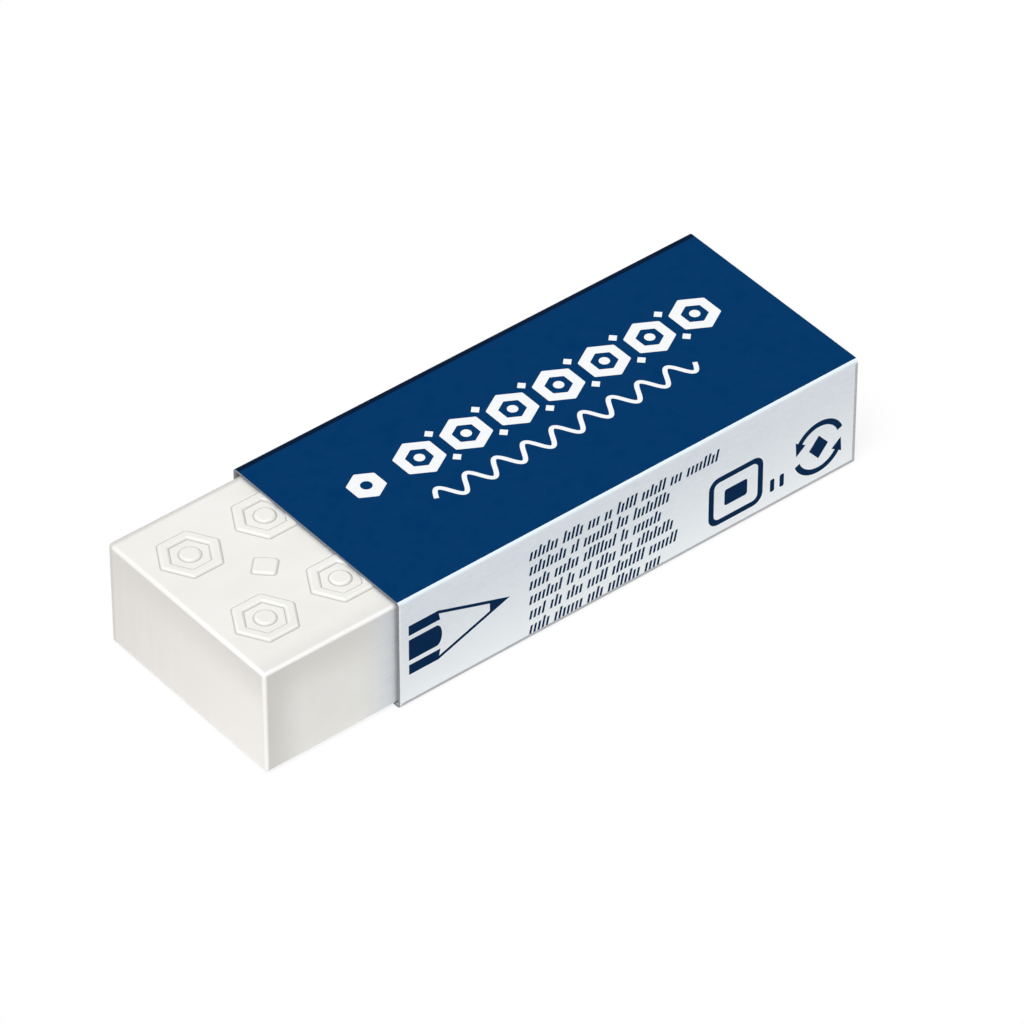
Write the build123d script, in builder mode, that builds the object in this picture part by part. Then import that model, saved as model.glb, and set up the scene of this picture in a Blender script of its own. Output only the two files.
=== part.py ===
from build123d import *
import os

# A white vinyl eraser block in a folded card sleeve, in millimetres.
#
#   eraser_block  moulded in one piece, with a raised repeat of small motifs on its top face
#   sleeve        one strip of card, folded round the block and glued to itself on the +Y side
#
# The sleeve stands on Z = 0 and the origin is under the middle of the whole object.
# The bare working end points to -X, and the sleeve covers the rest, flush with the +X end.
# The block slides along X through the sleeve, which is an open tube.

# ---- block ----
block_length = 65.0
block_width = 21.65
block_height = 11.1
block_edge_radius = 0.35
bare_length = 13.9

# ---- raised motifs: a pencil seen end-on, and a small lozenge between each four of them ----
relief_height = 0.2
motif_radius = 3.0
motif_wall = 0.9
core_radius = 0.9
motif_columns = 8
motif_rows = 2
motif_pitch_x = 8.0
motif_pitch_y = 10.4
first_motif_from_end = 4.5
lozenge_radius = 1.4

# ---- card sleeve ----
card = 0.25
fold_inner_radius = 0.15
near_gap = 0.3
far_gap = 0.1
bottom_gap = 0.03
relief_clearance = 0.05
seam_edge_height = 0.75
flap_height = 8.0

# ---- worked-out places ----
fold_outer_radius = fold_inner_radius + card
front_end_x = -block_length / 2
rear_end_x = block_length / 2
sleeve_front_x = front_end_x + bare_length
sleeve_length = rear_end_x - sleeve_front_x

# across the width: card and the wider gap on the -Y side, and the narrow gap and two layers of card on
# the +Y side, where the block lies against the glued seam
sleeve_width = card + near_gap + block_width + far_gap + 2 * card
sleeve_outer_near_y = -sleeve_width / 2
sleeve_inner_near_y = sleeve_outer_near_y + card
block_centre_y = sleeve_inner_near_y + near_gap + block_width / 2
block_base_z = card + bottom_gap
block_top_z = block_base_z + block_height

flap_inner_y = block_centre_y + block_width / 2 + far_gap
flap_outer_y = flap_inner_y + card
sleeve_outer_far_y = flap_outer_y + card
sleeve_inner_top_z = block_top_z + relief_height + relief_clearance
sleeve_outer_top_z = sleeve_inner_top_z + card

first_motif_x = front_end_x + first_motif_from_end
motif_centre_x = first_motif_x + (motif_columns - 1) * motif_pitch_x / 2


# ---- eraser block ----
with BuildPart() as eraser_block:
    with BuildSketch(Plane.XY.offset(block_base_z)):
        with Locations((0, block_centre_y)):
            Rectangle(block_length, block_width)
    extrude(amount=block_height)
    fillet(eraser_block.edges(), radius=block_edge_radius)

    # hexagon rings, each with a round core
    with BuildSketch(Plane.XY.offset(block_top_z)):
        with Locations((motif_centre_x, block_centre_y)):
            with GridLocations(motif_pitch_x, motif_pitch_y, motif_columns, motif_rows):
                RegularPolygon(radius=motif_radius, side_count=6)
                RegularPolygon(radius=motif_radius - motif_wall, side_count=6, mode=Mode.SUBTRACT)
                Circle(core_radius)
    extrude(amount=relief_height)

    # lozenges halfway between the rings
    with BuildSketch(Plane.XY.offset(block_top_z)):
        with Locations((motif_centre_x, block_centre_y)):
            with GridLocations(motif_pitch_x, motif_pitch_y, motif_columns - 1, motif_rows - 1):
                RegularPolygon(radius=lozenge_radius, side_count=4)
    extrude(amount=relief_height)

eraser_block.part.label = "eraser_block"


# ---- sleeve ----
# The section is drawn looking along +X, so its first coordinate is Y and its second is Z.
with BuildPart() as sleeve:
    with BuildSketch(Plane.YZ.offset(sleeve_front_x)):
        # the strip's four panels: bottom, near side, top, and far side down to its free edge
        with BuildLine():
            outer_face = FilletPolyline(
                (block_centre_y, 0),
                (sleeve_outer_near_y, 0),
                (sleeve_outer_near_y, sleeve_outer_top_z),
                (sleeve_outer_far_y, sleeve_outer_top_z),
                (sleeve_outer_far_y, seam_edge_height),
                radius=fold_outer_radius,
            )
            inner_face = FilletPolyline(
                (block_centre_y, card),
                (sleeve_inner_near_y, card),
                (sleeve_inner_near_y, sleeve_inner_top_z),
                (flap_outer_y, sleeve_inner_top_z),
                (flap_outer_y, seam_edge_height),
                radius=fold_inner_radius,
            )
            Line(outer_face @ 0, inner_face @ 0)
            Line(outer_face @ 1, inner_face @ 1)
        make_face()

        # the rest of the bottom panel, and the glue flap that stands up inside the far side
        with BuildLine():
            flap_back = FilletPolyline(
                (block_centre_y, 0),
                (flap_outer_y, 0),
                (flap_outer_y, flap_height),
                radius=fold_outer_radius,
            )
            flap_front = FilletPolyline(
                (block_centre_y, card),
                (flap_inner_y, card),
                (flap_inner_y, flap_height),
                radius=fold_inner_radius,
            )
            Line(flap_back @ 0, flap_front @ 0)
            Line(flap_back @ 1, flap_front @ 1)
        make_face()
    extrude(amount=sleeve_length)

sleeve.part.label = "sleeve"


# ---- files ----
os.makedirs("parts", exist_ok=True)
export_step(eraser_block.part, "parts/eraser_block.step")
export_step(sleeve.part, "parts/sleeve.step")

print(f"sleeve {sleeve_length:.2f} long, {sleeve_outer_far_y - sleeve_outer_near_y:.2f} wide,")
print(f"{sleeve_outer_top_z:.2f} high, from x {sleeve_front_x:.2f} to {rear_end_x:.2f}")
print(f"block volume {eraser_block.part.volume:.0f}, sleeve volume {sleeve.part.volume:.1f}")
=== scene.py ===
import math
import random

import bpy
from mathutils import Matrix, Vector
from mathutils.geometry import delaunay_2d_cdt


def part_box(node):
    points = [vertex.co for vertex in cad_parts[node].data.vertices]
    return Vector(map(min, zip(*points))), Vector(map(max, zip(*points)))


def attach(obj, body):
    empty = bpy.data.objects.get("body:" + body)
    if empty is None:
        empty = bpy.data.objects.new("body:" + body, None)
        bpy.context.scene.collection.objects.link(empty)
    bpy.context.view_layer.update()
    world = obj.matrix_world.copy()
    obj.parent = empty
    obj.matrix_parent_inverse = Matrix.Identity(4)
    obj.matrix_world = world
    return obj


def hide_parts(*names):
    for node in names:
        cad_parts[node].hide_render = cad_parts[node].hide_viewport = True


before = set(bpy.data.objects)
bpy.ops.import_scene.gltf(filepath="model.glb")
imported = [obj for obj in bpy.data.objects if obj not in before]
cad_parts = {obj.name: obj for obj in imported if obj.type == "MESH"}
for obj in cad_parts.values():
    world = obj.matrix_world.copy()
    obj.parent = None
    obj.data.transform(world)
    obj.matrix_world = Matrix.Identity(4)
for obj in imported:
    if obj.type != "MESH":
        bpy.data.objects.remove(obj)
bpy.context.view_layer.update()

# A white vinyl eraser in a printed card sleeve. Everything is in metres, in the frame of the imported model.
# Drawings on the panels and on the block's top face are written in millimetres and scaled by MM.

MM = 0.001
SLEEVE_LOW, SLEEVE_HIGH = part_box("sleeve")
BLOCK_LOW, BLOCK_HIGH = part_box("eraser_block")

# card sleeve
CARD = 0.25 * MM
FOLD_INNER = 0.15 * MM
FOLD_OUTER = FOLD_INNER + CARD
FOLD_STEPS = 9
SEAM_EDGE_Z = 0.75 * MM
FLAP_TOP_Z = 8.0 * MM

# strips along the edges of the printed panels, in millimetres
WHITE_MARGIN = 0.16
REAR_RIM = 0.3
BOTTOM_RIM = 0.14
FAR_SHADE_WIDTH = 0.35

# vinyl block
RELIEF = 0.2 * MM
EDGE_RADIUS = 0.35 * MM
EDGE_STEPS = 7
BLOCK_TOP_Z = BLOCK_HIGH.z - RELIEF

# how far the painted shade and painted shadow on the vinyl reach, in millimetres
BARE_END_SHADE_REACH = 4.5
SHADED_REACH = 4.5
SLEEVE_SHADE_REACH = 4.5
SLEEVE_SHADE_UNDER_SLEEVE = 1.5
NEAR_TOP_REACH = 2.2
LINE_HALF_WIDTH = 0.12
LINE_FADE = 0.22

# raised motifs, in millimetres
MOTIF_COLUMNS = 8
MOTIF_ROWS = 2
MOTIF_PITCH_X = 8.0
MOTIF_PITCH_Y = 10.4
FIRST_MOTIF = 4.5
RING_APOTHEM = 3.0 * math.cos(math.pi / 6)
RING_WALL = 0.9 * math.cos(math.pi / 6)
MOTIF_CORNER = 0.25
CORE_RADIUS = 0.9
LOZENGE_APOTHEM = 1.4 * math.cos(math.pi / 4)
SLOPE_WIDTH = 0.32
SLOPE_STEPS = 6


# ---------------------------------------------------------------- materials

def srgb(r, g, b):
    """The linear colour of an 8-bit sRGB one."""
    def linear(c):
        c /= 255
        return c / 12.92 if c <= 0.04045 else ((c + 0.055) / 1.055) ** 2.4
    return (linear(r), linear(g), linear(b), 1.0)


BLACK, WHITE = (0, 0, 0, 1), (1, 1, 1, 1)


def mixed(colour, other, share):
    """A colour moved by that share of the way towards another."""
    return tuple(a + (b - a) * share for a, b in zip(colour, other))


class Surface:
    """A Principled material with helpers for the procedural detail that goes into it."""

    def __init__(self, name, roughness, specular):
        self.material = bpy.data.materials.new(name)
        self.material.use_nodes = True
        self.tree = self.material.node_tree
        self.shader = self.tree.nodes["Principled BSDF"]
        self.shader.inputs["Roughness"].default_value = roughness
        self.shader.inputs["Specular IOR Level"].default_value = specular
        self.coordinates = self.node("ShaderNodeTexCoord").outputs["Object"]

    def node(self, kind, **settings):
        made = self.tree.nodes.new(kind)
        for key, value in settings.items():
            setattr(made, key, value)
        return made

    def link(self, output, socket):
        self.tree.links.new(output, socket)

    def stretched(self, per_mm):
        """Object coordinates, stretched so that one unit is 1/per_mm along each axis."""
        mapping = self.node("ShaderNodeMapping")
        mapping.inputs["Scale"].default_value = [s / MM for s in per_mm]
        self.link(self.coordinates, mapping.inputs["Vector"])
        return mapping.outputs["Vector"]

    def noise(self, per_mm, detail=3.0, roughness=0.55):
        made = self.node("ShaderNodeTexNoise")
        made.inputs["Scale"].default_value = 1.0
        made.inputs["Detail"].default_value = detail
        made.inputs["Roughness"].default_value = roughness
        self.link(self.stretched(per_mm), made.inputs["Vector"])
        return made.outputs["Fac"]

    def ranged(self, value, low, high, to_low=0.0, to_high=1.0, smooth=False):
        """Maps low and high onto to_low and to_high, and stops there."""
        made = self.node("ShaderNodeMapRange", interpolation_type="SMOOTHSTEP" if smooth else "LINEAR")
        made.inputs["From Min"].default_value = low
        made.inputs["From Max"].default_value = high
        made.inputs["To Min"].default_value = to_low
        made.inputs["To Max"].default_value = to_high
        self.link(value, made.inputs["Value"])
        return made.outputs["Result"]

    def along(self, axis):
        """One object coordinate, in metres."""
        split = self.node("ShaderNodeSeparateXYZ")
        self.link(self.coordinates, split.inputs["Vector"])
        return split.outputs[axis]

    def math(self, operation, value, other):
        """A maths node on two values, each an output or a float."""
        made = self.node("ShaderNodeMath", operation=operation)
        for socket, given in zip(made.inputs, (value, other)):
            if isinstance(given, float):
                socket.default_value = given
            else:
                self.link(given, socket)
        return made.outputs["Value"]

    def soft_inside(self, weight, depth):
        """Light that goes a little way into the surface, depth in millimetres."""
        self.shader.inputs["Subsurface Weight"].default_value = weight
        self.shader.inputs["Subsurface Radius"].default_value = (1.0, 0.95, 0.85)
        self.shader.inputs["Subsurface Scale"].default_value = depth * MM

    def blend(self, share, colour, other):
        """A mix of two colours, each an output or an RGBA tuple."""
        made = self.node("ShaderNodeMix", data_type="RGBA")
        self.link(share, made.inputs["Factor"])
        for name, value in (("A_Color", colour), ("B_Color", other)):
            socket = next(s for s in made.inputs if s.identifier == name)
            if isinstance(value, tuple):
                socket.default_value = value
            else:
                self.link(value, socket)
        return next(s for s in made.outputs if s.identifier == "Result_Color")

    def attribute(self, name):
        return self.node("ShaderNodeAttribute", attribute_name=name).outputs["Fac"]

    def colour(self, value):
        self.link(value, self.shader.inputs["Base Color"])

    def roughness(self, value):
        self.link(value, self.shader.inputs["Roughness"])

    def bump(self, heights):
        """Bumps from (height value, depth in millimetres) pairs, one over the other."""
        normal = None
        for value, depth in heights:
            made = self.node("ShaderNodeBump")
            made.inputs["Strength"].default_value = 1.0
            made.inputs["Distance"].default_value = depth * MM
            self.link(value, made.inputs["Height"])
            if normal:
                self.link(normal, made.inputs["Normal"])
            normal = made.outputs["Normal"]
        self.link(normal, self.shader.inputs["Normal"])


def far_edge_shade(made, y):
    """A thin band round the block just inside its far side, for a grey line of painted shade."""
    rise = made.ranged(y, BLOCK_HIGH.y - 0.8 * MM, BLOCK_HIGH.y - 0.3 * MM, smooth=True)
    fall = made.ranged(y, BLOCK_HIGH.y - 0.1 * MM, BLOCK_HIGH.y - 0.02 * MM, 1.0, 0.0)
    return made.math("MULTIPLY", rise, fall)


def vinyl():
    """Soft white vinyl: a faint mottle and a fine satin grain, with painted light laid over it: a painted
    highlight on the edges that fades towards the far side, painted shade in the corners of the relief, along
    the far edges and in bands on the top and the near side, bluish painted shade beside the sleeve, and the
    painted shadow of the sleeve's mouth."""
    made = Surface("white_vinyl", 0.46, 0.35)
    made.soft_inside(0.25, 0.35)
    grain = made.noise((7.0, 7.0, 7.0), 3.0)
    x, y, z = (made.along(axis) for axis in "XYZ")
    near_side = made.ranged(y, BLOCK_LOW.y + 0.1 * MM, BLOCK_LOW.y + EDGE_RADIUS, 1.0, 0.0)

    def falling(value, start, reach):
        """1 at start, falling to 0 over reach millimetres."""
        return made.ranged(value, start, start + reach * MM, 1.0, 0.0, smooth=True)

    def on_near_side(share):
        return made.math("MULTIPLY", share, near_side)

    # painted bluish shade beside the sleeve's front edge on the near side, in fine streaks, mostly where the
    # block is bare
    streaks = made.ranged(made.noise((0.3, 1.0, 3.0), 3.0, 0.6), 0.3, 0.6, 0.45, 1.0)
    bare_part = falling(made.math("MULTIPLY", x, -1.0), -SLEEVE_LOW.x, SLEEVE_SHADE_REACH)
    covered_part = falling(x, SLEEVE_LOW.x, SLEEVE_SHADE_UNDER_SLEEVE)
    sleeve_shade = made.math("MULTIPLY", made.math("MINIMUM", bare_part, covered_part), streaks)

    # and painted shadow of the sleeve's mouth: a faint grey line all round
    line_x = SLEEVE_LOW.x + LINE_HALF_WIDTH * MM
    off_line = made.math("ABSOLUTE", made.math("SUBTRACT", x, line_x), 0.0)
    uneven = made.ranged(streaks, 0.45, 1.0, 0.65, 1.0)
    line = made.math("MULTIPLY", falling(off_line, LINE_HALF_WIDTH * MM, LINE_FADE), uneven)

    # painted shade: the near side darker under its top edge and near the bare end, and the top darker along
    # the near edge
    below_edge = falling(made.math("MULTIPLY", z, -1.0), EDGE_RADIUS - BLOCK_TOP_Z, SHADED_REACH)
    near_top = made.math("SUBTRACT", falling(y, BLOCK_LOW.y, NEAR_TOP_REACH), near_side)
    # painted shade in the corners of the relief, and a painted highlight on raised edges that fades towards
    # the far side
    corner_shade = made.ranged(made.attribute("edge"), -1.0, 0.0, 1.0, 0.0)
    towards_near_side = made.ranged(y, BLOCK_LOW.y, BLOCK_HIGH.y, 1.0, 0.1)
    edge_highlight = made.math("MULTIPLY", made.attribute("edge"), towards_near_side)

    tone = made.blend(made.ranged(made.noise((0.22, 0.3, 0.3), 2.0), 0.35, 0.65),
                      srgb(237, 236, 231), srgb(240, 239, 235))
    # every tint laid over the mottle below is painted light: bands of painted shade, a painted highlight on
    # the edges and the painted shadow of the sleeve's mouth
    for share, tint in (
        (near_top, srgb(230, 229, 225)),
        (on_near_side(below_edge), srgb(224, 222, 217)),
        (on_near_side(falling(x, BLOCK_LOW.x, BARE_END_SHADE_REACH)), srgb(218, 215, 210)),
        (on_near_side(sleeve_shade), srgb(221, 226, 231)),
        (corner_shade, srgb(174, 172, 167)),
        (edge_highlight, srgb(252, 252, 250)),
        (far_edge_shade(made, y), srgb(210, 208, 203)),
        (line, srgb(207, 208, 210)),
    ):
        tone = made.blend(share, tone, tint)
    made.colour(tone)
    made.roughness(made.ranged(grain, 0.3, 0.7, 0.4, 0.52))
    made.bump([(made.noise((1.1, 1.1, 1.1), 2.0), 0.01), (grain, 0.004)])
    return made.material


def cut_vinyl():
    """The block's two end faces, cut by a blade: the same vinyl with faint streaks down the cut, and painted
    shade that makes it greyer towards the seam side, under the top edge and along the far edges."""
    made = Surface("cut_vinyl", 0.5, 0.3)
    made.soft_inside(0.25, 0.35)
    streak = made.noise((1.0, 1.6, 0.12), 2.0, 0.5)
    grain = made.noise((7.0, 7.0, 7.0), 3.0)
    y = made.along("Y")
    # painted shade: greyer across towards the seam side, and under the top edge
    across = made.ranged(y, BLOCK_LOW.y, BLOCK_HIGH.y)
    below_edge = made.ranged(made.along("Z"), BLOCK_TOP_Z - 5.0 * MM, BLOCK_TOP_Z, 0.0, 0.75, smooth=True)
    streaked = made.blend(made.ranged(streak, 0.4, 0.7), srgb(223, 220, 215), srgb(226, 223, 219))
    tone = made.blend(across, srgb(242, 239, 235), streaked)
    tone = made.blend(below_edge, tone, srgb(218, 215, 211))
    made.colour(made.blend(far_edge_shade(made, y), tone, srgb(210, 208, 204)))
    made.roughness(made.ranged(grain, 0.3, 0.7, 0.44, 0.56))
    made.bump([(streak, 0.003), (grain, 0.004)])
    return made.material


def ink(name, colour):
    """A field of ink on coated card: slightly uneven cover, and the card's fine tooth."""
    made = Surface(name, 0.5, 0.01)
    tooth = made.noise((9.0, 9.0, 9.0), 4.0)
    cover = made.ranged(made.noise((0.8, 0.8, 0.8), 4.0, 0.6), 0.3, 0.7)
    thick, thin = mixed(colour, BLACK, 0.05), mixed(colour, WHITE, 0.002)
    made.colour(made.blend(cover, thick, thin))
    made.roughness(made.ranged(tooth, 0.3, 0.7, 0.44, 0.58))
    made.bump([(tooth, 0.0035)])
    return made.material


def board(name, dark, light, tooth_depth, paler=None):
    """Bare card: a fine tooth and short fibres lying mostly along the sheet. Where paler is given, painted
    light makes the card paler towards it down the sleeve's side."""
    made = Surface(name, 0.62, 0.3)
    tooth = made.noise((9.0, 9.0, 9.0), 4.0)
    fibres = made.noise((1.4, 4.0, 4.0), 4.0, 0.65)
    tone = made.blend(made.ranged(fibres, 0.3, 0.7), dark, light)
    if paler:
        # painted light: the card paler towards the bottom of the sleeve's side
        down = made.ranged(made.along("Z"), SLEEVE_LOW.z, SLEEVE_LOW.z + 9.0 * MM, 1.0, 0.0)
        tone = made.blend(down, tone, paler)
    made.colour(tone)
    made.roughness(made.ranged(tooth, 0.3, 0.7, 0.55, 0.7))
    made.bump([(fibres, tooth_depth), (tooth, 0.0035)])
    return made.material


MATERIALS = {
    "vinyl": vinyl(),
    "cut_vinyl": cut_vinyl(),
    "blue": ink("blue_ink", srgb(0, 55, 104)),
    # dark blue with painted shade, for the far top edge
    "shaded_blue": ink("shaded_blue_ink", srgb(4, 27, 55)),
    "print": ink("print_ink", srgb(2, 40, 78)),
    "white": board("white_print", srgb(241, 244, 247), srgb(248, 249, 250), 0.002),
    "side": board("pale_side", srgb(222, 228, 234), srgb(229, 235, 241), 0.002, srgb(246, 250, 252)),
    # pale bare card on the fold beside the top
    "fold": board("bare_fold", srgb(228, 243, 249), srgb(234, 247, 252), 0.004),
    # grey strips of painted shade along the bottom fold and the bottom and rear edges of the near side
    "rim": board("shaded_rim", srgb(175, 176, 180), srgb(191, 192, 195), 0.006),
    "inside": board("grey_inside", srgb(172, 172, 170), srgb(192, 191, 188), 0.01),
    # the card's cut edges: a grey core, darkened further with painted shade
    "edge": board("cut_edge", srgb(120, 126, 136), srgb(144, 149, 157), 0.02),
}


# ---------------------------------------------------------------- mesh building

class Skin:
    """A mesh put together face by face, each corner with its own normal and its own edge value: above 0
    for a painted highlight on a raised edge, and below 0 for painted shade in a corner."""

    def __init__(self, name, slots):
        self.name = name
        self.slots = slots
        self.places = {}
        self.points = []
        self.faces = []

    def vertex(self, point):
        key = tuple(round(c / MM * 1e4) for c in point)
        if key not in self.places:
            self.places[key] = len(self.points)
            self.points.append(tuple(point))
        return self.places[key]

    def face(self, corners, slot):
        """corners are (point, normal, edge value); those that fall on one another are dropped, and the rest
        are turned to run anticlockwise as seen from outside."""
        kept = []
        for point, normal, edge in corners:
            index = self.vertex(point)
            if index not in [k[0] for k in kept]:
                kept.append((index, tuple(normal), edge))
        if len(kept) < 3:
            return
        outward = sum((Vector(n) for i, n, e in kept), Vector())
        ring = [Vector(self.points[i]) for i, n, e in kept]
        facing = sum((p.cross(q) for p, q in zip(ring, ring[1:] + ring[:1])), Vector())
        if facing.dot(outward) < 0:
            kept.reverse()
        self.faces.append((kept, self.slots.index(slot)))

    def build(self):
        mesh = bpy.data.meshes.new(self.name)
        mesh.from_pydata(self.points, [], [[c[0] for c in kept] for kept, slot in self.faces])
        for slot in self.slots:
            mesh.materials.append(MATERIALS[slot])
        mesh.polygons.foreach_set("material_index", [slot for kept, slot in self.faces])
        corners = [c for kept, slot in self.faces for c in kept]
        values = mesh.attributes.new("edge", "FLOAT", "CORNER")
        values.data.foreach_set("value", [c[2] for c in corners])
        mesh.shade_smooth()
        mesh.normals_split_custom_set([c[1] for c in corners])
        mesh.update()
        made = bpy.data.objects.new(self.name, mesh)
        bpy.context.scene.collection.objects.link(made)
        return made


def strip(skin, row, other, slot, edges=(0.0, 0.0)):
    """Quads between two rows of (point, normal), each with as many points. edges are the edge values of
    the two rows."""
    for (p, n), (q, m), (r, k), (s, j) in zip(row, row[1:], other[1:], other):
        skin.face([(p, n, edges[0]), (q, m, edges[0]), (r, k, edges[1]), (s, j, edges[1])], slot)


def panel(skin, place, normal, outline, paint, base_slot):
    """A flat panel with drawings on it. place turns a drawing's (u, v) into a point; paint is a list of
    (slot, outline) laid on in order, and slot None cuts a hole."""
    layers = [(base_slot, outline), *paint]
    coords, rings = [], []
    for slot, shape in layers:
        area = sum(p[0] * q[1] - q[0] * p[1] for p, q in zip(shape, shape[1:] + shape[:1]))
        shape = shape if area > 0 else shape[::-1]
        rings.append(list(range(len(coords), len(coords) + len(shape))))
        coords.extend(Vector(p) for p in shape)
    verts, _, faces, _, _, sources = delaunay_2d_cdt(coords, [], rings, 1, 1e-5)
    for corners, source in zip(faces, sources):
        slot = layers[max(source)][0]
        if slot:
            skin.face([(place(*verts[i]), normal, 0.0) for i in corners], slot)


# ---------------------------------------------------------------- drawing, in millimetres and degrees

def rounded_polygon(centre, apothem, corner, sides, turn=0.0, steps=5):
    """(point, outward direction) pairs round a regular polygon with rounded corners."""
    reach = (apothem - corner) / math.cos(math.pi / sides)
    made = []
    for k in range(sides):
        middle = turn + 2 * math.pi * k / sides
        hub = (centre[0] + reach * math.cos(middle), centre[1] + reach * math.sin(middle))
        for s in range(steps + 1):
            a = middle + (2 * s / steps - 1) * math.pi / sides
            way = (math.cos(a), math.sin(a))
            made.append(((hub[0] + corner * way[0], hub[1] + corner * way[1]), way))
    return made


def hexagon(x, y, apothem, turn=0, corner=0.2):
    return [p for p, way in rounded_polygon((x, y), apothem, corner, 6, math.radians(turn))]


def lozenge(x, y, half_width, half_height):
    return [(x - half_width, y), (x, y - half_height), (x + half_width, y), (x, y + half_height)]


def disc(x, y, radius, steps=32):
    return [(x + radius * math.cos(2 * math.pi * i / steps), y + radius * math.sin(2 * math.pi * i / steps))
            for i in range(steps)]


def bar(x0, y0, x1, y1, corner=0.0, steps=5):
    """A rectangle with rounded corners."""
    if not corner:
        return [(x0, y0), (x1, y0), (x1, y1), (x0, y1)]
    made = []
    for hub_x, hub_y, start in ((x1 - corner, y0 + corner, -90), (x1 - corner, y1 - corner, 0),
                                (x0 + corner, y1 - corner, 90), (x0 + corner, y0 + corner, 180)):
        for s in range(steps + 1):
            a = math.radians(start + 90 * s / steps)
            made.append((hub_x + corner * math.cos(a), hub_y + corner * math.sin(a)))
    return made


def stroke(path, width):
    """The outline of a line of that width along a path."""
    left, right = [], []
    for i, (x, y) in enumerate(path):
        before, after = path[max(i - 1, 0)], path[min(i + 1, len(path) - 1)]
        dx, dy = after[0] - before[0], after[1] - before[1]
        length = math.hypot(dx, dy)
        side = (-dy / length * width / 2, dx / length * width / 2)
        left.append((x + side[0], y + side[1]))
        right.append((x - side[0], y - side[1]))
    return left + right[::-1]


def arc(x, y, radius, start, end, steps=16):
    return [(x + radius * math.cos(math.radians(start + (end - start) * i / steps)),
             y + radius * math.sin(math.radians(start + (end - start) * i / steps)))
            for i in range(steps + 1)]


# ---------------------------------------------------------------- sleeve

def top_print():
    """White on blue: a solid hexagon, a bold band of hexagon rings and a lighter wavy line under it."""
    row, turn = 2.4, 30
    x = 7.4
    paint = [("white", hexagon(x, row, 1.55, turn)), ("blue", disc(x, row, 0.55))]

    # the band, with a lozenge above and below each gap
    rings, first_ring, pitch, lozenge_rise = 7, 13.2, 5.15, 1.95
    for i in range(rings):
        x = first_ring + i * pitch
        paint.append(("white", hexagon(x, row, 2.05, turn)))
        paint.append(("blue", hexagon(x, row, 1.1, turn, 0.12)))
        paint.append(("white", disc(x, row, 0.5)))
        if i < rings - 1:
            for side in (-1, 1):
                paint.append(("white", lozenge(x + pitch / 2, row + side * lozenge_rise, 0.5, 0.5)))

    # the wavy line
    start, end, middle, height, wavelength, width = 11.0, 39.8, -2.7, 1.0, 3.2, 0.45
    steps = 300
    path = []
    for i in range(steps + 1):
        x = start + (end - start) * i / steps
        path.append((x, middle + height * math.sin(2 * math.pi * (x - start) / wavelength)))
    paint.append(("white", stroke(path, width)))
    return paint


def pencil_point():
    """The end of a pencil: an outlined cone with a solid lead, and three bars for the barrel."""
    middle, back, shoulder, tip = 6.1, 1.0, 4.2, 12.0
    half_height, line = 2.75, 0.35
    lead_start, lead_half = 9.8, 0.42
    wood_half = half_height - line
    paint = [
        ("print", [(shoulder, middle - half_height), (tip, middle), (shoulder, middle + half_height)]),
        ("side", [(shoulder, middle - wood_half), (lead_start, middle - lead_half),
                  (lead_start, middle + lead_half), (shoulder, middle + wood_half)]),
    ]
    outer_bar, slant = 1.65, 0.2
    for side in (-1, 1):
        inner, outer = middle + side * outer_bar, middle + side * half_height
        shape = [(back, inner), (shoulder + slant, inner), (shoulder, outer), (back, outer)]
        paint.append(("print", shape))
    bar_half, bulge_start, bulge, steps = 1.15, 4.0, 0.6, 12
    cap = [(bulge_start + bulge * math.cos(a), middle + bar_half * math.sin(a))
           for a in (math.pi * (s / steps - 0.5) for s in range(steps + 1))]
    paint.append(("print", [(back, middle - bar_half), *cap, (back, middle + bar_half)]))
    return paint


def tick_rows():
    """Rows of slanted ticks, in groups as long and as far apart as words of small print."""
    draw = random.Random(7)
    rows, first_row, row_pitch = 6, 9.35, 1.66
    left, longest, shorter = 14.1, 35.2, (28.4, 30.4)
    pitch, width, slant = 0.46, 0.26, 0.22
    foot, short_rise, tall_rise, tall_share = 0.5, 0.42, 0.75, 0.3
    paint = []
    for r in range(rows):
        x, end = left, (longest if r == 0 else draw.uniform(*shorter))
        z = first_row - r * row_pitch
        while x < end:
            for _ in range(draw.randint(2, 9)):
                low, high = z - foot, z + (tall_rise if draw.random() < tall_share else short_rise)
                lean = slant * (high - low)
                tick = [(x, low), (x + width, low), (x + lean + width, high), (x + lean, high)]
                paint.append(("print", tick))
                x += pitch
            x += pitch
    return paint


def loop_marks():
    """A rounded square loop round a solid block, two short marks, and a round loop of two arrows."""
    paint = []
    x, z = 37.3, 4.1
    for slot, half_width, half_height, corner in (
        ("print", 3.1, 2.7, 1.1),
        ("side", 2.5, 2.1, 0.6),
        ("print", 1.3, 0.9, 0.25),
    ):
        paint.append((slot, bar(x - half_width, z - half_height, x + half_width, z + half_height, corner)))

    for x in (41.5, 42.6):
        paint.append(("print", bar(x - 0.25, 1.9, x + 0.25, 3.3, 0.15)))

    x, z, radius, line = 46.8, 4.15, 2.6, 0.6
    head_inner, head_outer = radius - 0.75, radius + 0.65
    for turn in (0, 180):
        paint.append(("print", stroke(arc(x, z, radius, turn + 20, turn + 150), line)))
        tip, back = math.radians(turn + 176), math.radians(turn + 146)
        paint.append(("print", [
            (x + radius * math.cos(tip), z + radius * math.sin(tip)),
            (x + head_inner * math.cos(back), z + head_inner * math.sin(back)),
            (x + head_outer * math.cos(back), z + head_outer * math.sin(back)),
        ]))
    paint.append(("print", lozenge(x, z, 1.1, 1.3)))
    return paint


def side_print():
    """Dark blue on pale: a pencil point, rows of fine ticks and two small loops."""
    return pencil_point() + tick_rows() + loop_marks()


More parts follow.
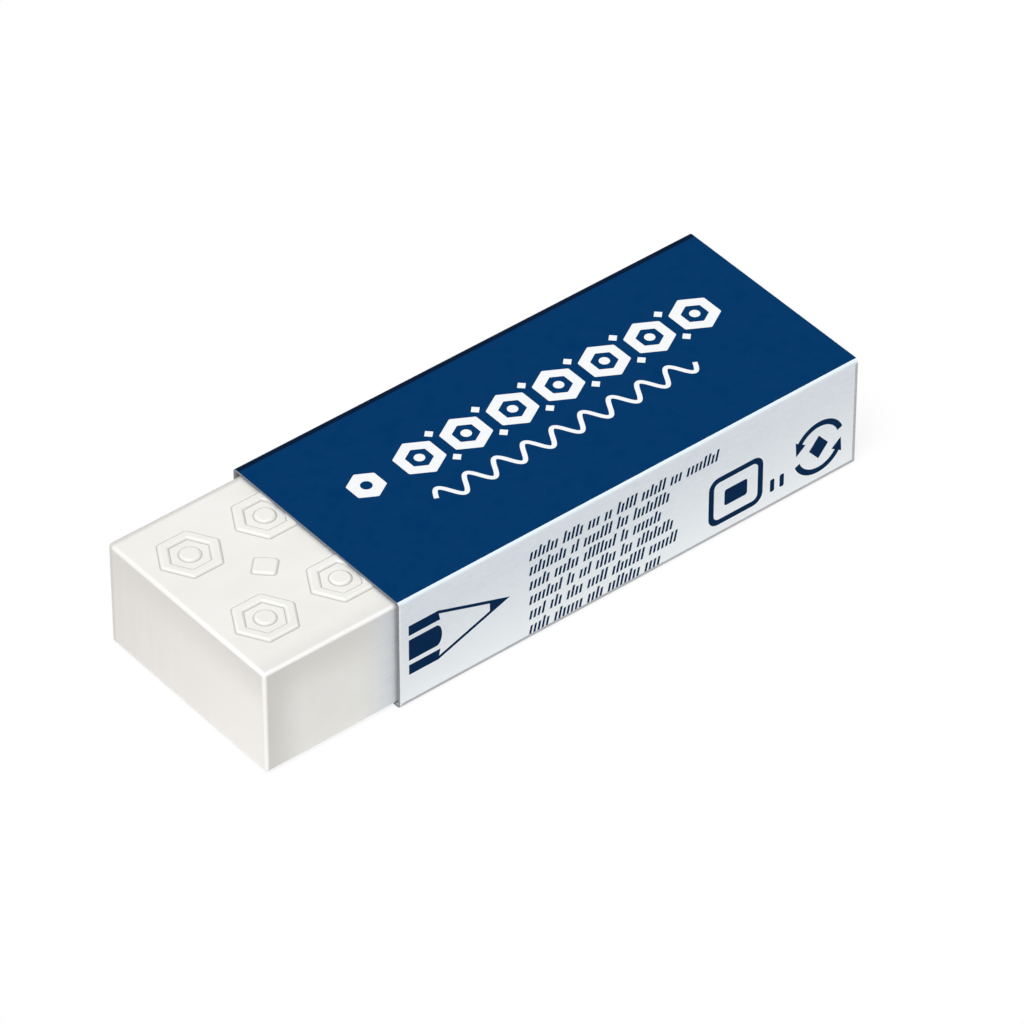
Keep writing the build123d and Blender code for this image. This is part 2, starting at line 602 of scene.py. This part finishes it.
def make_sleeve():
    """The folded card sleeve: outer face with its print, inner face, glue flap and cut edges."""
    slots = ["blue", "shaded_blue", "print", "white", "side", "fold", "rim", "inside", "edge"]
    skin = Skin("card_sleeve", slots)
    front, rear = SLEEVE_LOW.x, SLEEVE_HIGH.x
    near, far = SLEEVE_LOW.y, SLEEVE_HIGH.y
    bottom, top = SLEEVE_LOW.z, SLEEVE_HIGH.z
    flap_back = far - CARD
    flap_front = flap_back - CARD
    up, down = Vector((0, 0, 1)), Vector((0, 0, -1))
    towards, away = Vector((0, -1, 0)), Vector((0, 1, 0))
    middle_y = (BLOCK_LOW.y + BLOCK_HIGH.y) / 2

    def fold(hub_y, hub_z, radius, start, inward=False):
        """A quarter turn of section points, with the normals of its outer or inner face."""
        made = []
        for s in range(FOLD_STEPS + 1):
            a = math.radians(start + 90 * s / FOLD_STEPS)
            way = Vector((0, math.cos(a), math.sin(a)))
            made.append(((hub_y + radius * way.y, hub_z + radius * way.z), -way if inward else way))
        return made

    def run(section, slots):
        """Sweeps a stretch of section from the front edge to the rear edge, with a slot for each step."""
        for ((y0, z0), n0), ((y1, z1), n1), slot in zip(section, section[1:], slots):
            skin.face([(Vector((front, y0, z0)), n0, 0.0), (Vector((rear, y0, z0)), n0, 0.0),
                       (Vector((rear, y1, z1)), n1, 0.0), (Vector((front, y1, z1)), n1, 0.0)], slot)

    # the outer face's folds, anticlockwise from the top far one as seen from the rear; the colour changes
    # part-way round, and the fold beside the top is partly pale bare card
    r = FOLD_OUTER
    top_far = fold(far - r, top - r, r, 0)
    top_near = fold(near + r, top - r, r, 90)
    bottom_near = fold(near + r, bottom + r, r, 180)
    bottom_far = fold(flap_back - r, bottom + r, r, 270)
    # the top far fold in dark blue with painted shade
    run(top_far, ["shaded_blue"] * FOLD_STEPS)
    run(top_near, ["blue"] * 2 + ["fold"] * 4 + ["side"] * (FOLD_STEPS - 6))
    # the bottom fold starts with a grey strip of painted shade
    run(bottom_near, ["rim"] * 4 + ["blue"] * (FOLD_STEPS - 4))
    run(bottom_far, ["blue"] * 4 + ["side"] * (FOLD_STEPS - 4))

    # the printed panels; u runs from the front edge, v up the panel, both in millimetres
    length = (rear - front) / MM

    def flat(low, high):
        return [(0, low), (length, low), (length, high), (0, high)]

    def on_top(u, v):
        return Vector((front + u * MM, middle_y + v * MM, top))

    def on_near_side(u, v):
        return Vector((front + u * MM, near, bottom + v * MM))

    low, high = (near + r - middle_y) / MM, (far - r - middle_y) / MM
    # a dark blue strip of painted shade along the far top edge
    far_shade_strip = ("shaded_blue", bar(0, high - FAR_SHADE_WIDTH, length, high))
    panel(skin, on_top, up, flat(low, high), [far_shade_strip, *top_print()], "blue")
    low, high = r / MM, (top - bottom - r) / MM
    # grey strips of painted shade along the bottom and rear edges, and a white margin at the front
    borders = [
        ("rim", bar(0, low, length, low + BOTTOM_RIM)),
        ("white", bar(0, low, WHITE_MARGIN, high)),
        ("rim", bar(length - REAR_RIM, low, length, high)),
    ]
    panel(skin, on_near_side, towards, flat(low, high), borders + side_print(), "side")

    # plain panels: far side, its free edge, the flap below that edge, and the underside
    run([((far, SEAM_EDGE_Z), away), ((far, top - r), away)], ["side"])
    run([((flap_back, SEAM_EDGE_Z), down), ((far, SEAM_EDGE_Z), down)], ["edge"])
    run([((flap_back, bottom + r), away), ((flap_back, SEAM_EDGE_Z), away)], ["side"])
    run([((near + r, bottom), down), ((flap_back - r, bottom), down)], ["blue"])

    # the inner face, clockwise
    r = FOLD_INNER
    inner_near, inner_top, inner_bottom = near + CARD, top - CARD, bottom + CARD
    inner = [((flap_back, FLAP_TOP_Z), towards)]
    inner += fold(flap_back - r, inner_top - r, r, 0, inward=True)
    inner += fold(inner_near + r, inner_top - r, r, 90, inward=True)
    inner += fold(inner_near + r, inner_bottom + r, r, 180, inward=True)
    inner += fold(flap_front - r, inner_bottom + r, r, 270, inward=True)
    inner.append(((flap_front, FLAP_TOP_Z), towards))
    inner.reverse()
    run(inner, ["inside"] * (len(inner) - 1))
    run([((flap_back, FLAP_TOP_Z), up), ((flap_front, FLAP_TOP_Z), up)], ["edge"])

    # the cut edges at both ends, darkened with painted shade
    outer_ring = [p for p, n in top_far + top_near + bottom_near + bottom_far]
    outer_ring += [(flap_back, SEAM_EDGE_Z), (far, SEAM_EDGE_Z)]
    inner_ring = [p for p, n in inner]
    for x, normal in ((front, Vector((-1, 0, 0))), (rear, Vector((1, 0, 0)))):
        def at_end(u, v, x=x):
            return Vector((x, u * MM, v * MM))
        rings = [[(y / MM, z / MM) for y, z in ring] for ring in (outer_ring, inner_ring)]
        panel(skin, at_end, normal, rings[0], [(None, rings[1])], "edge")
    return skin.build()


# ---------------------------------------------------------------- block

def make_block():
    """The vinyl block: rounded all round, with a raised repeat on its top face."""
    skin = Skin("vinyl_block", ["vinyl", "cut_vinyl"])
    r = EDGE_RADIUS
    low, high = BLOCK_LOW, Vector((BLOCK_HIGH.x, BLOCK_HIGH.y, BLOCK_TOP_Z))
    hubs = [(high.x - r, high.y - r, 0), (low.x + r, high.y - r, 90),
            (low.x + r, low.y + r, 180), (high.x - r, low.y + r, 270)]

    def ring(hub_z, tilt):
        """One level of the rounded block: (point, normal, highlight) round it. tilt is -90 to 90 degrees.
        The painted highlight is greatest half-way round each edge, and there is none on the edges
        underneath."""
        made = []
        out, lift = math.cos(math.radians(tilt)), math.sin(math.radians(tilt))
        level_highlight = max(2 * out * lift, 0)
        for hub_x, hub_y, start in hubs:
            for s in range(EDGE_STEPS + 1):
                a = math.radians(start + 90 * s / EDGE_STEPS)
                normal = Vector((out * math.cos(a), out * math.sin(a), lift))
                corner_highlight = 2 * abs(math.cos(a) * math.sin(a)) * out
                point = Vector((hub_x, hub_y, hub_z)) + normal * r
                made.append((point, normal, max(level_highlight, corner_highlight)))
        return made

    levels = [ring(low.z + r, -90 + 90 * s / EDGE_STEPS) for s in range(EDGE_STEPS + 1)]
    levels += [ring(high.z - r, 90 * s / EDGE_STEPS) for s in range(EDGE_STEPS + 1)]
    per_corner = EDGE_STEPS + 1
    for i, (lower, upper) in enumerate(zip(levels, levels[1:])):
        side_wall = i == EDGE_STEPS
        for k in range(len(lower)):
            j = (k + 1) % len(lower)
            long_run = j % per_corner == 0
            end_face = side_wall and long_run and abs(lower[k][1].x) > 0.9
            skin.face([lower[k], lower[j], upper[j], upper[k]], "cut_vinyl" if end_face else "vinyl")

    # the underside, plain
    base = [Vector((hub_x, hub_y, low.z)) for hub_x, hub_y, _ in hubs][::-1]
    skin.face([(p, (0, 0, -1), 0.0) for p in base], "vinyl")

    # the top face, with a hole for each raised shape and the shape itself
    middle_y = (low.y + high.y) / 2
    up = Vector((0, 0, 1))
    holes = []

    def on_top(u, v, height=0.0):
        return Vector((low.x + u * MM, middle_y + v * MM, high.z + height * MM))

    def slope(shape, raised_inside):
        """The rounded-off side of a raised shape, from the face up to its top. Returns the top loop."""
        centre, apothem, corner, sides, turn = shape
        sign = 1 if raised_inside else -1
        rows = []
        for s in range(SLOPE_STEPS + 1):
            t = s / SLOPE_STEPS
            shift = sign * SLOPE_WIDTH * (0.5 - t)
            height = RELIEF / MM * t * t * (3 - 2 * t)
            steep = sign * RELIEF / MM * 6 * t * (1 - t) / SLOPE_WIDTH
            loop = rounded_polygon(centre, apothem + shift, corner + shift, sides, turn)
            loop.append(loop[0])
            rows.append([(on_top(*p, height), Vector((way[0] * steep, way[1] * steep, 1)).normalized())
                         for p, way in loop])
            if s == 0:
                # the face is cut away under a raised shape, and stays inside a ring
                holes.append((None if raised_inside else "vinyl", [p for p, way in loop[:-1]]))

        # painted shade at the foot of the slope, painted highlight at its top
        shade_to_highlight = [2 * s / SLOPE_STEPS - 1 for s in range(SLOPE_STEPS + 1)]
        for lower, upper, *edges in zip(rows, rows[1:], shade_to_highlight, shade_to_highlight[1:]):
            if raised_inside:
                strip(skin, lower, upper, "vinyl", edges)
            else:
                strip(skin, lower[::-1], upper[::-1], "vinyl", edges)
        return rows[-1]

    for column in range(MOTIF_COLUMNS):
        for row in range(MOTIF_ROWS):
            centre = (FIRST_MOTIF + column * MOTIF_PITCH_X, (row - (MOTIF_ROWS - 1) / 2) * MOTIF_PITCH_Y)
            outer = slope((centre, RING_APOTHEM, MOTIF_CORNER, 6, 0.0), True)
            inner = slope((centre, RING_APOTHEM - RING_WALL, MOTIF_CORNER, 6, 0.0), False)
            strip(skin, [(p, up) for p, n in outer], [(p, up) for p, n in inner], "vinyl")
            core = slope((centre, CORE_RADIUS, CORE_RADIUS, 6, 0.0), True)
            skin.face([(p, up, 0.0) for p, n in core[:-1]], "vinyl")

    for column in range(MOTIF_COLUMNS - 1):
        for row in range(MOTIF_ROWS - 1):
            centre = (FIRST_MOTIF + (column + 0.5) * MOTIF_PITCH_X,
                      (row - (MOTIF_ROWS - 2) / 2) * MOTIF_PITCH_Y)
            top = slope((centre, LOZENGE_APOTHEM, MOTIF_CORNER, 4, 0.0), True)
            skin.face([(p, up, 0.0) for p, n in top[:-1]], "vinyl")

    length, width = (high.x - low.x) / MM, (high.y - low.y) / MM
    inset = r / MM
    outline = [(inset, -width / 2 + inset), (length - inset, -width / 2 + inset),
               (length - inset, width / 2 - inset), (inset, width / 2 - inset)]
    panel(skin, on_top, up, outline, holes, "vinyl")
    return skin.build()


block = make_block()
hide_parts("eraser_block")
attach(block, "block")

sleeve = make_sleeve()
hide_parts("sleeve")
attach(sleeve, "card_sleeve")


# ---------------------------------------------------------------- floor, light and camera

def seen_share(tree, share):
    """A factor of share for rays from the camera, reflections and clear things, 0 for those that light."""
    path = tree.nodes.new("ShaderNodeLightPath")
    value = path.outputs["Is Camera Ray"]
    for name in ("Is Glossy Ray", "Is Transmission Ray"):
        either = tree.nodes.new("ShaderNodeMath")
        either.operation = "MAXIMUM"
        tree.links.new(value, either.inputs[0])
        tree.links.new(path.outputs[name], either.inputs[1])
        value = either.outputs["Value"]
    scaled = tree.nodes.new("ShaderNodeMath")
    scaled.operation = "MULTIPLY"
    scaled.inputs[1].default_value = share
    tree.links.new(value, scaled.inputs[0])
    return scaled.outputs["Value"]


def make_floor(colour, white_share):
    """A pale floor that keeps a soft trace of the object's shadow and runs into the white background."""
    half = 3.0
    mesh = bpy.data.meshes.new("floor")
    corners = [(-half, -half, 0), (half, -half, 0), (half, half, 0), (-half, half, 0)]
    mesh.from_pydata(corners, [], [(0, 1, 2, 3)])
    floor = bpy.data.objects.new("floor", mesh)
    bpy.context.scene.collection.objects.link(floor)
    material = bpy.data.materials.new("pale_floor")
    material.use_nodes = True
    tree = material.node_tree
    tree.nodes.clear()
    output = tree.nodes.new("ShaderNodeOutputMaterial")
    matt = tree.nodes.new("ShaderNodeBsdfDiffuse")
    matt.inputs["Color"].default_value = (colour, colour, colour, 1)
    glow = tree.nodes.new("ShaderNodeEmission")
    mix = tree.nodes.new("ShaderNodeMixShader")
    tree.links.new(seen_share(tree, white_share), mix.inputs["Fac"])
    tree.links.new(matt.outputs["BSDF"], mix.inputs[1])
    tree.links.new(glow.outputs["Emission"], mix.inputs[2])
    tree.links.new(mix.outputs["Shader"], output.inputs["Surface"])
    mesh.materials.append(material)


def make_world(strength):
    """Even light from all round, and white where the camera or a reflection sees it."""
    world = bpy.data.worlds.new("studio")
    bpy.context.scene.world = world
    world.use_nodes = True
    tree = world.node_tree
    light = tree.nodes["Background"]
    light.inputs["Color"].default_value = (1, 1, 1, 1)
    light.inputs["Strength"].default_value = strength
    white = tree.nodes.new("ShaderNodeBackground")
    white.inputs["Color"].default_value = (1, 1, 1, 1)
    mix = tree.nodes.new("ShaderNodeMixShader")
    tree.links.new(seen_share(tree, 1.0), mix.inputs["Fac"])
    tree.links.new(light.outputs["Background"], mix.inputs[1])
    tree.links.new(white.outputs["Background"], mix.inputs[2])
    tree.links.new(mix.outputs["Shader"], tree.nodes["World Output"].inputs["Surface"])


def add_sun(name, way, strength, spread):
    """A sun shining from the direction way, spread over that many degrees."""
    lamp = bpy.data.lights.new(name, "SUN")
    lamp.energy = strength
    lamp.angle = math.radians(spread)
    sun = bpy.data.objects.new(name, lamp)
    sun.rotation_euler = Vector(way).to_track_quat("Z", "Y").to_euler()
    bpy.context.scene.collection.objects.link(sun)


def add_camera(azimuth, elevation, distance, target, lens):
    """A camera looking at target from that azimuth and elevation, in degrees."""
    a, e = math.radians(azimuth), math.radians(elevation)
    back = Vector((math.sin(a) * math.cos(e), -math.cos(a) * math.cos(e), math.sin(e)))
    camera = bpy.data.objects.new("camera", bpy.data.cameras.new("camera"))
    camera.data.lens = lens
    camera.location = target + back * distance
    camera.rotation_euler = back.to_track_quat("Z", "Y").to_euler()
    bpy.context.scene.collection.objects.link(camera)
    bpy.context.scene.camera = camera


make_floor(colour=0.97, white_share=0.85)
make_world(strength=0.42)
add_sun("key", way=(-0.38, -0.19, 0.905), strength=2.08, spread=25)
add_camera(azimuth=-39.13, elevation=40.81, distance=0.6411,
           target=Vector((-1.5, -5.41, 8.8)) * MM, lens=263.1)
bpy.context.scene.view_settings.view_transform = "Standard"
